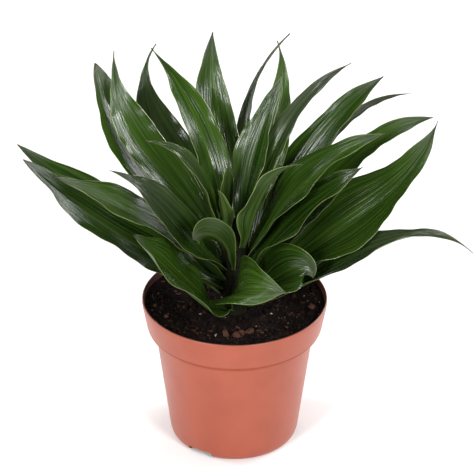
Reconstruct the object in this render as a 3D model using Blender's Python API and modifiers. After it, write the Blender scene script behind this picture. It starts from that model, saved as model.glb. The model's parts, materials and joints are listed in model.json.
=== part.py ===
"""A potted dracaena: a thin plastic nursery pot, its soil, a short cane and a rosette of broad strap leaves.

Metres, +Z up. The origin is the middle of the pot's underside, on the surface that the pot stands on.
+X is the viewer's right and +Y points away from the viewer. Sizes and places are written in millimetres
and brought to metres once, by MM. Azimuths run from +X towards +Y, and all angles are in degrees.
"""

import math

import bmesh
import bpy
import numpy as np

MM = 0.001
GAP = 0.3
TURN_STEPS = 52
CUTTER_STEPS = 16

# Pot: outer radii and heights, from the rim down
POT_HEIGHT = 101.5
RIM_RADIUS = 60.0
BAND_FOOT_RADIUS = 57.0
BAND_FOOT_Z = 82.0
BODY_TOP_RADIUS = 51.4
BODY_TOP_Z = 76.9
BODY_FOOT_RADIUS = 42.2
BODY_FOOT_Z = 6.0
BASE_RADIUS = 37.5
WALL = 1.3
LIP = 0.6

# The underside stands on a flat middle and on a narrow foot ring, with a raised channel between them
FOOT_RING_WIDTH = 1.5
CHANNEL_RISE = 2.6
CHANNEL_WIDTH = 6.0
DRAIN_HOLES = 8
DRAIN_RADIUS = 2.0
FIRST_DRAIN_AZIMUTH = 19
NOTCH_AZIMUTHS = (237, 357, 117)
NOTCH_WIDTH = 18.0
NOTCH_HEIGHT = 5.0
NOTCH_DEPTH = 10.0

# Soil and cane
SOIL_TOP = 92.0
SOIL_RINGS = (13, 19, 26, 33, 40, 47, 53)
SOIL_RELIEF = 1.1
SOIL_RISE = 5.0
RISE_START = 32.0
CANE_RADIUS = 8.0
CANE_FOOT_Z = 40.0
CANE_SHOULDER_Z = 149.0
CANE_TIP_Z = 160.0
CANE_STEPS = 24
SCAR_SPACING = 11.0
SCAR_DEPTH = 0.4

# Leaf blades: how finely each is divided, and how near the axis a blade may come as it clasps the cane
BLADE_THICKNESS = 0.7
STATIONS = 12
ACROSS = 4
CLASP_RADIUS = CANE_RADIUS + 0.8
CURVE_SAMPLES = 200
FOLD_SOFTNESS = 0.02
LEAST_HALF_WIDTH = 0.5

POT_COLOUR = (0.55, 0.145, 0.085)
SOIL_COLOUR = (0.022, 0.013, 0.009)
CANE_COLOUR = (0.10, 0.12, 0.045)
LEAF_COLOUR = (0.016, 0.060, 0.010)

# What a leaf has unless its row says otherwise. root_bow and tip_bow are the lengths of the midrib curve's
# two handles, as shares of its chord. waves is how many times the margins wave along the blade. least is the
# least half width short of the tip.
LEAF_DEFAULTS = {
    "turn": 0, "fold": 22, "roll": 0, "tip_roll": 0, "root_bow": 0.38, "tip_bow": 0.34,
    "wave": 0.05, "waves": 2.5, "phase": 0.0, "widest": 0.45, "base": 0.30, "taper": 1.15, "least": 0.6,
}


def leaf(tip, root, lift, nod, width, **others):
    """One leaf. tip is its tip's azimuth, its distance from the axis and its height above the soil. root is the
    azimuth and the height above the soil at which it leaves the cane. lift is the climb of the midrib at the
    root, and nod its climb at the tip. turn swings the tip sideways, and roll tilts the blade about its midrib.
    """
    shape = dict(LEAF_DEFAULTS, tip=tip, root=root, lift=lift, nod=nod, width=width)
    shape.update(others)
    return shape


LEAVES = {
    # Left side, from the lowest leaf up
    "leaf_left_low_back": leaf(
        (163, 147.5, 97), (163, 9), lift=34, nod=40, width=38, roll=-8, base=0.32, taper=0.9
    ),
    "leaf_left_broad": leaf(
        (183, 133.5, 113), (184, 15), lift=30, nod=50, width=45, roll=-20, base=0.3, widest=0.36, taper=0.85
    ),
    "leaf_left_upper": leaf(
        (200, 118, 119), (201, 23.5), lift=54, nod=36, width=38, roll=-16, widest=0.4, base=0.26, taper=0.95
    ),
    "leaf_front_left": leaf(
        (218, 80, 83), (243, 2.6), lift=26, nod=54, width=50, roll=-24, tip_roll=-13, base=0.2, taper=1.0
    ),
    "leaf_left_inner_low": leaf(
        (197, 82, 115), (212, 32), lift=44, nod=30, width=31, roll=-40, tip_roll=30, root_bow=0.45
    ),
    "leaf_left_inner_high": leaf((190, 57, 128), (190, 50), lift=78, nod=8, width=17, roll=-20),
    # Back left
    "leaf_back_left_low": leaf(
        (142, 116, 142), (144, 25), lift=43, nod=74, width=43, roll=-9, taper=0.75, base=0.42
    ),
    "leaf_back_left_broad": leaf(
        (138, 106, 151), (144, 38), lift=54, nod=80, width=36, turn=-80, widest=0.5, taper=1.4, tip_bow=0.44,
        least=1.8
    ),
    "leaf_back_left_hooked": leaf(
        (115.5, 122.5, 137), (116, 18.5), lift=49, nod=57, width=40, turn=-116, taper=2.0, tip_bow=0.32, roll=-12,
        base=0.28, least=1.5
    ),
    "leaf_back_left_tall": leaf(
        (128, 89, 153.5), (127, 45), lift=82, nod=27, width=27, turn=5, taper=1.4, least=1.2
    ),
    # Back and back right
    "leaf_back_tall": leaf((102, 72, 165), (97, 31), lift=60, nod=77, width=32, turn=-60, taper=1.0),
    "leaf_back_right_slender": leaf(
        (70, 103, 151.5), (67, 23), lift=68, nod=48, width=16, turn=-75, taper=2.2, tip_bow=0.45, widest=0.28,
        least=1.2
    ),
    "leaf_back_right_tall": leaf(
        (66, 65, 164.5), (64, 45), lift=69, nod=72, width=33, turn=115, taper=1.8, widest=0.4, base=0.26,
        least=1.1
    ),
    "leaf_back_inner": leaf((48, 44, 154), (64, 54.5), lift=80, nod=60, width=28, taper=1.4),
    "leaf_back_right_arched": leaf(
        (32, 87, 155.5), (22, 45), lift=83, nod=12, width=18, taper=1.2, roll=8, tip_bow=0.38
    ),
    "leaf_back_right_broad": leaf(
        (24, 103, 148), (24, 25), lift=59, nod=29, width=34, roll=10, taper=0.95, base=0.36, widest=0.45
    ),
    # Right side
    "leaf_right_slender": leaf(
        (35, 143, 115), (42, 19), lift=66, nod=-20, width=18, taper=1.8, roll=5, least=1.2
    ),
    "leaf_right_far": leaf((17, 132.5, 120.5), (17, 14), lift=45, nod=3, width=30, roll=8, taper=0.85),
    "leaf_right_upper": leaf((1, 95, 128.5), (-2, 37), lift=64, nod=18, width=34, roll=13, taper=1.25),
    "leaf_right_inner": leaf((-14, 82, 116), (-23, 28), lift=60, nod=46, width=42, roll=17),
    "leaf_right_broad": leaf(
        (2, 127, 136), (12, 10), lift=37, nod=76, width=55, roll=24, tip_bow=0.37, base=0.28, widest=0.42,
        taper=1.4
    ),
    "leaf_right_low": leaf(
        (-14, 154, 64), (-14, 3), lift=23, nod=-37, width=34, taper=2.1, turn=-12, roll=8, base=0.4,
        widest=0.39
    ),
    # Short curled leaves at the front, and the heart of the rosette
    "leaf_front_curled": leaf(
        (-60, 64, 46), (-100, 4.5), lift=55, nod=-15, width=44, turn=50, fold=30, roll=30, tip_roll=40,
        root_bow=0.5, base=0.22, widest=0.55
    ),
    "leaf_front_right_curled": leaf(
        (-27, 56, 38.5), (-47, 8), lift=51, nod=-55, width=40, turn=-60, fold=18, roll=30, tip_roll=50,
        root_bow=0.6, base=0.18, widest=0.6
    ),
    "leaf_heart_folded": leaf(
        (238, 49, 75), (262, 34), lift=84, nod=-40, width=22, roll=25, tip_roll=85, root_bow=0.5, base=0.15,
        widest=0.7, taper=0.95, tip_bow=0.2
    ),
    "leaf_heart_right": leaf(
        (-30, 49, 120), (-48, 50), lift=70, nod=10, width=27, roll=-8, tip_roll=-20, root_bow=0.3, widest=0.35,
        taper=1.4
    ),
    "leaf_heart_spear": leaf((120, 6, 103), (124, 60), lift=88, nod=85, width=13),
    "leaf_heart_young": leaf((234, 19, 97), (234, 56), lift=84, nod=60, width=12, fold=34),
    # Low and rear leaves that the others hide from the front
    "leaf_rear_middle": leaf((84, 112, 54), (84, 9), lift=36, nod=15, width=29),
    "leaf_rear_left_low": leaf((112, 122, 36), (112, 3), lift=20, nod=10, width=33),
    "leaf_rear_left": leaf((134, 100, 47), (134, 6.5), lift=28, nod=20, width=27),
    "leaf_rear_right": leaf((62, 106, 42), (62, 5.5), lift=26, nod=10, width=31),
    "leaf_rear_right_low": leaf((36, 90, 32), (36, 2), lift=20, nod=20, width=31),
    "leaf_rear_left_high": leaf((98, 100, 74), (98, 13), lift=42, nod=30, width=28),
    "leaf_rear_high": leaf((76, 84, 94), (70, 16), lift=52, nod=36, width=26, base=0.24),
}


def clear_scene():
    for scene_object in list(bpy.data.objects):
        bpy.data.objects.remove(scene_object, do_unlink=True)


def new_collection(name):
    collection = bpy.data.collections.new(name)
    bpy.context.scene.collection.children.link(collection)
    return collection


def material(name, colour, roughness):
    made = bpy.data.materials.new(name)
    made.use_nodes = True
    shader = made.node_tree.nodes["Principled BSDF"]
    shader.inputs["Base Color"].default_value = (*colour, 1)
    shader.inputs["Roughness"].default_value = roughness
    shader.inputs["Metallic"].default_value = 0
    return made


def add_object(name, mesh, collection, finish=None):
    made = bpy.data.objects.new(name, mesh)
    collection.objects.link(made)
    if finish:
        mesh.materials.append(finish)
    return made


def apply_modifiers(made):
    """Puts the object's evaluated mesh in place of its own, and drops its modifiers."""
    bpy.context.view_layer.update()
    graph = bpy.context.evaluated_depsgraph_get()
    made.data = bpy.data.meshes.new_from_object(made.evaluated_get(graph))
    made.modifiers.clear()


def turned(name, profile, steps, collection, finish):
    """A solid turned round the Z axis from (radius, height) points that run down its outer side."""
    mesh = bpy.data.meshes.new(name)
    points = [(radius * MM, 0, height * MM) for radius, height in profile]
    edges = [(i, i + 1) for i in range(len(points) - 1)]
    mesh.from_pydata(points, edges, [])
    made = add_object(name, mesh, collection, finish)
    screw = made.modifiers.new("Turn", "SCREW")
    screw.axis = "Z"
    screw.angle = math.tau
    screw.steps = steps
    screw.render_steps = steps
    screw.use_merge_vertices = True
    screw.merge_threshold = 0.0001
    return made


def shade_smooth(mesh, sharp_angle=40):
    mesh.shade_smooth()
    mesh.set_sharp_from_angle(angle=math.radians(sharp_angle))


def pot_outer_profile():
    """The pot's outer side, from the top of the lip down to the foot ring: a deep band, a step, then the body."""
    return [
        (RIM_RADIUS - LIP, POT_HEIGHT),
        (RIM_RADIUS, POT_HEIGHT - LIP),
        (RIM_RADIUS, POT_HEIGHT - 3.0),
        (BAND_FOOT_RADIUS, BAND_FOOT_Z),
        (BAND_FOOT_RADIUS - 0.8, BAND_FOOT_Z - 1.9),
        (BAND_FOOT_RADIUS - 2.4, BAND_FOOT_Z - 3.5),
        (BODY_TOP_RADIUS + 1.0, BODY_TOP_Z + 0.8),
        (BODY_TOP_RADIUS, BODY_TOP_Z),
        (BODY_FOOT_RADIUS, BODY_FOOT_Z),
        (BODY_FOOT_RADIUS - 0.6, BODY_FOOT_Z - 2.6),
        (BODY_FOOT_RADIUS - 2.0, BODY_FOOT_Z - 4.8),
        (BASE_RADIUS, 0),
    ]


def pot_under_profile():
    """The underside, from the foot ring in to the axis."""
    channel_outer = BASE_RADIUS - FOOT_RING_WIDTH
    channel_inner = channel_outer - CHANNEL_WIDTH
    return [
        (channel_outer, 0),
        (channel_outer - 0.8, CHANNEL_RISE),
        (channel_inner + 0.8, CHANNEL_RISE),
        (channel_inner, 0),
        (0, 0),
    ]


def pot_inner_profile(clearance=0.0):
    """The pot's inner side, from the axis of the floor up to the lip, or the same line drawn in by a clearance."""
    inset = WALL + clearance
    channel_outer = BASE_RADIUS - FOOT_RING_WIDTH
    channel_inner = channel_outer - CHANNEL_WIDTH
    floor = WALL + clearance
    return [
        (0, floor),
        (channel_inner - 1.2 - clearance / 2, floor),
        (channel_inner - clearance / 2, CHANNEL_RISE + floor),
        (BASE_RADIUS - 0.5, CHANNEL_RISE + floor),
        (BODY_FOOT_RADIUS - 0.6 - inset, CHANNEL_RISE + floor + 1.6),
        (BODY_FOOT_RADIUS - inset + 0.1, BODY_FOOT_Z + floor),
        (BODY_TOP_RADIUS - inset, BODY_TOP_Z + 0.4 + clearance),
        (BAND_FOOT_RADIUS - 2.4 - inset + 0.9, BAND_FOOT_Z - 2.6 + clearance),
        (BAND_FOOT_RADIUS - inset, BAND_FOOT_Z + 0.8 + clearance),
        (RIM_RADIUS - inset, POT_HEIGHT - 2.8),
        (RIM_RADIUS - inset + 0.1, POT_HEIGHT - LIP),
    ]


def drain_cutter(azimuth, radius, collection):
    mesh = bpy.data.meshes.new("drain_cutter")
    shape = bmesh.new()
    bmesh.ops.create_cone(
        shape, cap_ends=True, segments=CUTTER_STEPS, radius1=DRAIN_RADIUS * MM, radius2=DRAIN_RADIUS * MM,
        depth=4 * WALL * MM,
    )
    shape.to_mesh(mesh)
    shape.free()
    cutter = add_object("drain_cutter", mesh, collection)
    middle = CHANNEL_RISE + WALL / 2
    cutter.location = [value * MM for value in polar(azimuth, radius, middle)]


def notch_cutter(azimuth, collection):
    mesh = bpy.data.meshes.new("notch_cutter")
    shape = bmesh.new()
    bmesh.ops.create_cube(shape, size=MM)
    size = (NOTCH_DEPTH, NOTCH_WIDTH, 2 * NOTCH_HEIGHT)
    bmesh.ops.scale(shape, vec=size, verts=shape.verts)
    bmesh.ops.bevel(
        shape, geom=[e for e in shape.edges if abs(e.verts[0].co.x - e.verts[1].co.x) > MM],
        offset=1.2 * MM, segments=3, affect="EDGES", profile=0.5,
    )
    shape.to_mesh(mesh)
    shape.free()
    cutter = add_object("notch_cutter", mesh, collection)
    cutter.location = [value * MM for value in polar(azimuth, BASE_RADIUS + 1, 0)]
    cutter.rotation_euler.z = math.radians(azimuth)


def cut(made, cutters):
    """One Boolean that takes every cutter of the collection out of the object."""
    for cutter in cutters.objects:
        cutter.hide_render = True
        cutter.display_type = "WIRE"
    boolean = made.modifiers.new("Cut", "BOOLEAN")
    boolean.operation = "DIFFERENCE"
    boolean.operand_type = "COLLECTION"
    boolean.collection = cutters


def make_pot(parts, cutters):
    profile = pot_inner_profile() + pot_outer_profile() + pot_under_profile()
    pot = turned("pot", profile, TURN_STEPS, parts, material("pot_plastic", POT_COLOUR, 0.45))
    shade_smooth(pot.data)
    channel_middle = BASE_RADIUS - FOOT_RING_WIDTH - CHANNEL_WIDTH / 2
    for hole in range(DRAIN_HOLES):
        azimuth = FIRST_DRAIN_AZIMUTH + 360 * hole / DRAIN_HOLES
        drain_cutter(azimuth, channel_middle, cutters)
    for azimuth in NOTCH_AZIMUTHS:
        notch_cutter(azimuth, cutters)
    cut(pot, cutters)


def rise(radius, edge_radius):
    """How much higher the soil lies at this radius, as it climbs towards the pot's wall."""
    return SOIL_RISE * smooth((radius - RISE_START) / (edge_radius - RISE_START))


def relief(x, y):
    """The soil's uneven top at (x, y): three crossed swells, in shares of SOIL_RELIEF."""
    return (
        0.5 * np.sin(0.23 * x + 0.11 * y + 0.4)
        + 0.3 * np.sin(0.35 * y - 0.19 * x + 1.7)
        + 0.2 * np.sin(0.61 * x + 0.47 * y + 2.9)
    )


def make_soil(parts):
    hole_radius = CANE_RADIUS + GAP
    inner = pot_inner_profile(GAP)
    below, above = inner[-3], inner[-2]
    share = (SOIL_TOP + SOIL_RISE - below[1]) / (above[1] - below[1])
    edge_radius = below[0] + share * (above[0] - below[0])
    top = [(radius, SOIL_TOP) for radius in (hole_radius,) + SOIL_RINGS] + [(edge_radius, SOIL_TOP + SOIL_RISE)]
    hole = [(0, CANE_FOOT_Z - GAP), (hole_radius, CANE_FOOT_Z - GAP)]
    profile = hole + top + inner[-3::-1]
    soil = turned("soil", profile, TURN_STEPS, parts, material("peat", SOIL_COLOUR, 0.95))
    apply_modifiers(soil)
    for vertex in soil.data.vertices:
        radius = math.hypot(vertex.co.x, vertex.co.y) / MM
        if abs(vertex.co.z / MM - SOIL_TOP) < 0.01:
            fade = smooth((radius - hole_radius) / 10)
            swell = SOIL_RELIEF * fade * relief(vertex.co.x / MM, vertex.co.y / MM)
            vertex.co.z += (swell + rise(radius, edge_radius)) * MM
    shade_smooth(soil.data)


def make_cane(parts):
    """The cane: a pointed growing tip, a shallow ring at each old leaf scar, and a foot in the soil."""
    profile = [(0, CANE_TIP_Z), (1.5, CANE_TIP_Z - 1.5), (0.5 * CANE_RADIUS, 0.5 * (CANE_TIP_Z + CANE_SHOULDER_Z))]
    profile += [(0.85 * CANE_RADIUS, CANE_SHOULDER_Z + 1.5), (CANE_RADIUS, CANE_SHOULDER_Z)]
    scars = int((CANE_SHOULDER_Z - SOIL_TOP) / SCAR_SPACING)
    for scar in range(1, scars):
        height = CANE_SHOULDER_Z - scar * SCAR_SPACING
        profile += [(CANE_RADIUS, height + 0.6), (CANE_RADIUS - SCAR_DEPTH, height), (CANE_RADIUS, height - 0.6)]
    profile += [(CANE_RADIUS, CANE_FOOT_Z + 1), (CANE_RADIUS - 1, CANE_FOOT_Z), (0, CANE_FOOT_Z)]
    cane = turned("cane", profile, CANE_STEPS, parts, material("cane_skin", CANE_COLOUR, 0.7))
    shade_smooth(cane.data)


def polar(azimuth, radius, height):
    angle = math.radians(azimuth)
    return np.array([radius * math.cos(angle), radius * math.sin(angle), height])


def direction(azimuth, climb):
    return polar(azimuth, math.cos(math.radians(climb)), math.sin(math.radians(climb)))


def smooth(x):
    """A soft step from 0 to 1."""
    x = np.clip(x, 0, 1)
    return x * x * (3 - 2 * x)


def unit(vectors):
    return vectors / np.linalg.norm(vectors, axis=-1, keepdims=True)


def midrib(shape, stations):
    """Points at even steps along the midrib, a cubic curve from the cane to the tip, and its compass heading."""
    root_azimuth, root_height = shape["root"]
    azimuth, reach, height = shape["tip"]
    root = polar(root_azimuth, CLASP_RADIUS, SOIL_TOP + root_height)
    tip = polar(azimuth, reach, SOIL_TOP + height)
    chord = np.linalg.norm(tip - root)
    heading = math.degrees(math.atan2(tip[1] - root[1], tip[0] - root[0]))
    after_root = root + direction(root_azimuth, shape["lift"]) * chord * shape["root_bow"]
    before_tip = tip - direction(heading + shape["turn"], shape["nod"]) * chord * shape["tip_bow"]
    t = np.linspace(0, 1, CURVE_SAMPLES)[:, None]
    curve = (
        (1 - t) ** 3 * root
        + 3 * (1 - t) ** 2 * t * after_root
        + 3 * (1 - t) * t**2 * before_tip
        + t**3 * tip
    )
    run = np.concatenate([[0], np.cumsum(np.linalg.norm(np.diff(curve, axis=0), axis=1))])
    even = np.linspace(0, run[-1], stations + 1)
    points = np.stack([np.interp(even, run, curve[:, axis]) for axis in range(3)], axis=-1)
    return points, heading


def half_widths(shape, along):
    """Half the blade's width at each share of its length: a clasping base, the widest part, a long point."""
    widest = shape["widest"]
    base = shape["base"]
    rising = base + (1 - base) * smooth(along / widest)
    past = np.clip((along - widest) / (1 - widest), 0, 1)
    share = np.where(along < widest, rising, (1 - past**1.9) ** shape["taper"])
    slender = shape["least"] * np.sqrt(1 - along**8)
    return np.maximum(np.maximum(0.5 * shape["width"] * share, slender), LEAST_HALF_WIDTH)


def blade_surface(shape, stations, across):
    """The blade's middle surface as a grid of points, [station, place across, xyz], in millimetres."""
    middle, heading = midrib(shape, stations)
    along = np.linspace(0, 1, stations + 1)
    tangent = unit(np.gradient(middle, axis=0))
    level = polar(heading + 90, 1, 0)
    side = unit(level - tangent * (tangent @ level)[:, None])
    up = np.cross(tangent, side)
    roll = shape["roll"] * smooth(along / 0.5) + shape["tip_roll"] * smooth((along - 0.45) / 0.55)
    cos_roll = np.cos(np.radians(roll))[:, None]
    sin_roll = np.sin(np.radians(roll))[:, None]
    side, up = side * cos_roll + up * sin_roll, up * cos_roll - side * sin_roll
    place = np.linspace(-1, 1, across + 1)[None, :]
    half = half_widths(shape, along)[:, None]
    fold = np.radians(shape["fold"] * (1 + 0.9 * (1 - smooth(along / 0.25))))[:, None]
    valley = np.sqrt(place**2 + FOLD_SOFTNESS) - math.sqrt(FOLD_SOFTNESS)
    beat = np.sin(math.tau * shape["waves"] * along + shape["phase"])
    ends = smooth(along / 0.2) * (1 - smooth((along - 0.8) / 0.2))
    wave = shape["wave"] * shape["width"] * (beat * ends)[:, None] * np.sign(place) * place**2
    out = half * place * np.cos(fold)
    lift = half * valley * np.sin(fold) + wave
    grid = middle[:, None] + side[:, None] * out[..., None] + up[:, None] * lift[..., None]
    radius = np.hypot(grid[..., 0], grid[..., 1])
    grid[..., :2] *= (np.maximum(radius, CLASP_RADIUS) / radius)[..., None]
    return grid


def blade_faces(stations, across):
    """Two triangles for each cell of the grid, with diagonals that mirror each other about the midrib."""
    faces = []
    row = across + 1
    for station in range(stations):
        for place in range(across):
            near = station * row + place
            far = near + row
            if place < across / 2:
                faces += [(near, far, far + 1), (near, far + 1, near + 1)]
            else:
                faces += [(near, far, near + 1), (far, far + 1, near + 1)]
    return faces


def make_leaf(name, shape, parts, finish):
    """A blade: its middle surface, thickened evenly to both sides."""
    grid = blade_surface(shape, STATIONS, ACROSS)
    mesh = bpy.data.meshes.new(name)
    mesh.from_pydata((grid.reshape(-1, 3) * MM).tolist(), [], blade_faces(STATIONS, ACROSS))
    shade_smooth(mesh)
    blade = add_object(name, mesh, parts, finish)
    solid = blade.modifiers.new("Thickness", "SOLIDIFY")
    solid.thickness = BLADE_THICKNESS * MM
    solid.offset = 0


def main():
    clear_scene()
    parts = new_collection("potted_dracaena")
    cutters = new_collection("cutters")
    make_pot(parts, cutters)
    make_soil(parts)
    make_cane(parts)
    for name, shape in LEAVES.items():
        make_leaf(name, shape, parts, material(name + "_green", LEAF_COLOUR, 0.35))


main()
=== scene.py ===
"""Looks of the potted dracaena: finer leaf blades, pot, soil and cane, with their materials and the light.

Metres, +Z up, in the same frame as the CAD. Sizes are written in millimetres and brought to metres by MM.
"""

import json
import math
from itertools import chain

import bpy
import numpy as np
from mathutils import Matrix, Vector, noise

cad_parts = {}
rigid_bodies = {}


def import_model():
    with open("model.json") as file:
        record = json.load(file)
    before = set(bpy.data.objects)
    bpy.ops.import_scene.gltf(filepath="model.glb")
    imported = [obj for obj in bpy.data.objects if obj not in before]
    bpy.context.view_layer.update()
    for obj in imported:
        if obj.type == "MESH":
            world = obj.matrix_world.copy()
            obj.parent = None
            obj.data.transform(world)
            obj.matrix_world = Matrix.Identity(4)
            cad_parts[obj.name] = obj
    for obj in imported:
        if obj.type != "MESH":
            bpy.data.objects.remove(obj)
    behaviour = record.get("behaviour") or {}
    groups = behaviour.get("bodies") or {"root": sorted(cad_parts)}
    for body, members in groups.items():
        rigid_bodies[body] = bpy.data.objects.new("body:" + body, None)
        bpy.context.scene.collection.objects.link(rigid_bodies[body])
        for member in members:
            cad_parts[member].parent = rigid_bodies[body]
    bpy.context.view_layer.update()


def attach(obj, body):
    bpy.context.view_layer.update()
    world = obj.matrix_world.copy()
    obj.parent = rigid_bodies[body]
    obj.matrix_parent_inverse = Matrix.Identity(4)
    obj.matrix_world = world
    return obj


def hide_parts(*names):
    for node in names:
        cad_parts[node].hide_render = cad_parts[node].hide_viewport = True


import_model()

MM = 0.001
SEED = 20

# Camera: far away with a long lens, looking down at the plant. Distance, target and clip end in metres.
IMAGE_SIZE = 474
FOCAL_PIXELS = 2775.0
SENSOR = 36.0
CAMERA_DISTANCE = 1.8
CAMERA_ELEVATION = 30.0
CAMERA_ROLL = 0.3
CAMERA_TARGET = (0.0013, 0.0198, 0.1343)
CLIP_END = 20.0

# Light: softboxes that all stand at one distance from a point in the plant, and a weak white surround. Each
# softbox has a compass heading, a climb above the level, a width and height in metres, and a power.
LIT_POINT = (0.0, 0.0, 0.15)
LIGHT_DISTANCE = 1.6
SOFTBOXES = (
    ("box_right", 36, 17, (0.75, 0.36), 10),
    ("box_left", 166, 22, (0.3, 0.5), 9),
    ("box_front_right", -58, 24, (0.35, 0.6), 14),
    ("box_front_left", -124, 22, (0.35, 0.6), 14),
    ("box_top", 110, 68, (0.7, 0.4), 7),
    ("strip_front_left", -124, 12, (0.12, 0.5), 3),
    ("strip_front_right", -52, 26, (0.12, 0.4), 2),
    ("strip_right", 26, 14, (0.16, 0.3), 6),
    ("strip_far_right", 53, 14, (0.1, 0.3), 1.6),
    ("strip_low_right", 17, 3, (0.25, 0.14), 4),
)
SURROUND_STRENGTH = 0.5
FLOOR_SIZE = 8.0

# Pot: outer radii and heights, from the rim down
POT_HEIGHT = 101.5
RIM_RADIUS = 60.0
BAND_TOP_Z = POT_HEIGHT - 3.0
BAND_FOOT_RADIUS = 57.0
BAND_FOOT_Z = 82.0
BAND_SLOPE = (RIM_RADIUS - BAND_FOOT_RADIUS) / (BAND_TOP_Z - BAND_FOOT_Z)
BODY_TOP_RADIUS = 51.4
BODY_TOP_Z = 76.9
BODY_FOOT_RADIUS = 42.2
BODY_FOOT_Z = 6.0
BASE_RADIUS = 37.5
WALL = 1.3
LIP = 0.6
POT_CORNER = 0.9
POT_STEPS = 168
SHARP_ANGLE = 35.0

# Underside of the pot: a foot ring, a channel inside it with drain holes in its roof, and notches at the foot
FOOT_RING_WIDTH = 1.5
CHANNEL_WIDTH = 6.0
CHANNEL_RISE = 2.6
CHANNEL_OUTER = BASE_RADIUS - FOOT_RING_WIDTH
CHANNEL_INNER = CHANNEL_OUTER - CHANNEL_WIDTH
CHANNEL_MIDDLE = CHANNEL_OUTER - CHANNEL_WIDTH / 2
DRAIN_HOLES = 8
DRAIN_RADIUS = 2.0
FIRST_DRAIN_AZIMUTH = 19
NOTCH_AZIMUTHS = (237, 357, 117)
NOTCH_WIDTH = 18.0
NOTCH_HEIGHT = 5.0
NOTCH_DEPTH = 10.0
NOTCH_ROUNDING = 1.2
NOTCH_ROUNDING_STEPS = 5
CUTTER_STEPS = 32

# Clearance between neighbouring pieces
GAP = 0.3

# Soil: its top lies at SOIL_TOP round the cane, and climbs by SOIL_RISE from RISE_START out to the wall
SOIL_TOP = 92.0
SOIL_RELIEF = 1.1
SOIL_RISE = 5.0
RISE_START = 32.0
SOIL_STEPS = 200
SOIL_RING_PITCH = 0.8
CRUMB_HEIGHT = 0.8
CRUMBS = 760
CHIPS = 130
SPECKS = 55
FIBRES = 70
FIBRE_SIDES = 5
FIBRE_JOINTS = 9
FIBRE_BEND = 22
FIBRE_DROOP = 0.35
LUMP_ROUGHNESS = 0.45

# The larger bits that lie in view at the front: place on the soil, half sizes, turns and shade. A shade below
# 0.5 runs from dark to mid brown, about 0.6 is reddish bark, and above 0.8 is a pale speck.
FRONT_CHIPS = (
    ((-5.5, -33), (2.0, 4.6, 1.6), (14, 0, 12), 0.60),
    ((1.0, -34), (3.0, 4.4, 2.2), (-10, 8, -20), 0.66),
    ((4.6, -30), (2.2, 3.0, 1.8), (0, 20, 35), 0.58),
    ((9.6, -29.5), (3.4, 2.2, 1.8), (0, -12, 15), 0.50),
    ((14.3, -23), (0.7, 0.7, 0.5), (0, 0, 0), 0.97),
    ((-32.6, 2), (1.5, 1.1, 0.8), (0, 0, 30), 0.72),
    ((-51.5, -4), (2.2, 1.4, 1.0), (0, 10, 70), 0.55),
    ((-22, -6.5), (1.0, 0.8, 0.7), (0, 0, 0), 0.80),
    ((23.7, -6), (0.8, 0.6, 0.5), (0, 0, 0), 0.85),
    ((50.5, -3.5), (2.8, 3.6, 1.4), (0, 12, 20), 0.64),
    ((-12, -32), (0.6, 2.4, 0.5), (0, 0, -12), 0.86),
    ((-24, -31), (1.6, 1.2, 0.9), (0, 0, 0), 0.45),
    ((17.6, -31), (1.4, 1.0, 0.8), (0, 0, 0), 0.70),
    ((-44, -16), (1.8, 1.2, 0.9), (0, 0, 40), 0.62),
    ((34, -24), (1.5, 1.1, 0.8), (0, 0, -30), 0.55),
)

# Cane
CANE_RADIUS = 8.0
CANE_FOOT_Z = 40.0
CANE_SHOULDER_Z = 149.0
CANE_TIP_Z = 160.0
CANE_CORNER = 0.5
CANE_STEPS = 64
SCAR_SPACING = 11.0
SCAR_DEPTH = 0.4
SCAR_HALF_HEIGHT = 0.6

# Form of every leaf blade. MARGIN_WAVE is the height of the margins' waves as a share of the blade's width,
# and MARGIN_WAVES how many there are along it. Where its half width is under FULL_BODY, a blade is thinner.
STATIONS = 72
ACROSS = 56
CURVE_SAMPLES = 400
CLASP_RADIUS = CANE_RADIUS + 0.8
FOLD_SOFTNESS = 0.02
MARGIN_WAVE = 0.05
MARGIN_WAVES = 2.5
POINT_POWER = 1.9
LEAST_HALF_WIDTH = 0.5
BLADE_THICKNESS = 0.6
MARGIN_THICKNESS = 0.28
FULL_BODY = 4.0

# Fine relief of the blades: pleats, the groove over the midrib, the keel under it, buckles, rippled margins
PLEATS = 7
PLEAT_HEIGHT = 0.06
PLEAT_BEND = 0.015
GROOVE_DEPTH = 0.30
GROOVE_WIDTH = 1.1
KEEL_HEIGHT = 0.45
KEEL_WIDTH = 1.3
BUCKLE_HEIGHT = 0.55
BUCKLE_LENGTH = 26
RIPPLE_HEIGHT = 0.45
RIPPLE_LENGTHS = (13, 19)

# Streaks and mottling of the blades: how fast each pattern changes across a blade and along it, for each
# millimetre. VEIN_SHIFT moves the patterns on from one leaf to the next.
FINE_STREAKS = (1.0, 0.012, 1)
COARSE_STREAKS = (0.34, 0.010, 1)
MOTTLE = (0.07, 0.035, 1)
VEIN_SHIFT = 7.3

# Colours, as linear red, green and blue
LEAF_DARK = (0.0046, 0.0170, 0.0014)
LEAF_PALE = (0.047, 0.100, 0.0110)
LEAF_BASE = (0.045, 0.070, 0.020)
LEAF_MIDRIB = (0.075, 0.115, 0.035)
LEAF_MARGIN = (0.20, 0.26, 0.075)
LEAF_SHEEN_GREY = (0.058, 0.062, 0.047)
LEAF_DRY = (0.055, 0.038, 0.020)
UNDERSIDE_DARK = (0.012, 0.030, 0.004)
UNDERSIDE_PALE = (0.044, 0.070, 0.014)
PLASTIC_DARK = (0.275, 0.053, 0.023)
PLASTIC_PALE = (0.305, 0.061, 0.028)
PLASTIC_LIP_HIGHLIGHT_AND_FOOT = (0.46, 0.16, 0.10)
PLASTIC_STAIN_AND_SHADE = (0.070, 0.022, 0.014)
PLASTIC_STEP_SHADE = (0.190, 0.038, 0.018)
PEAT_DARK = (0.0015, 0.0007, 0.0005)
PEAT_PALE = (0.016, 0.0075, 0.0050)
PEAT_CLOD = (0.014, 0.0065, 0.0045)
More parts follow.
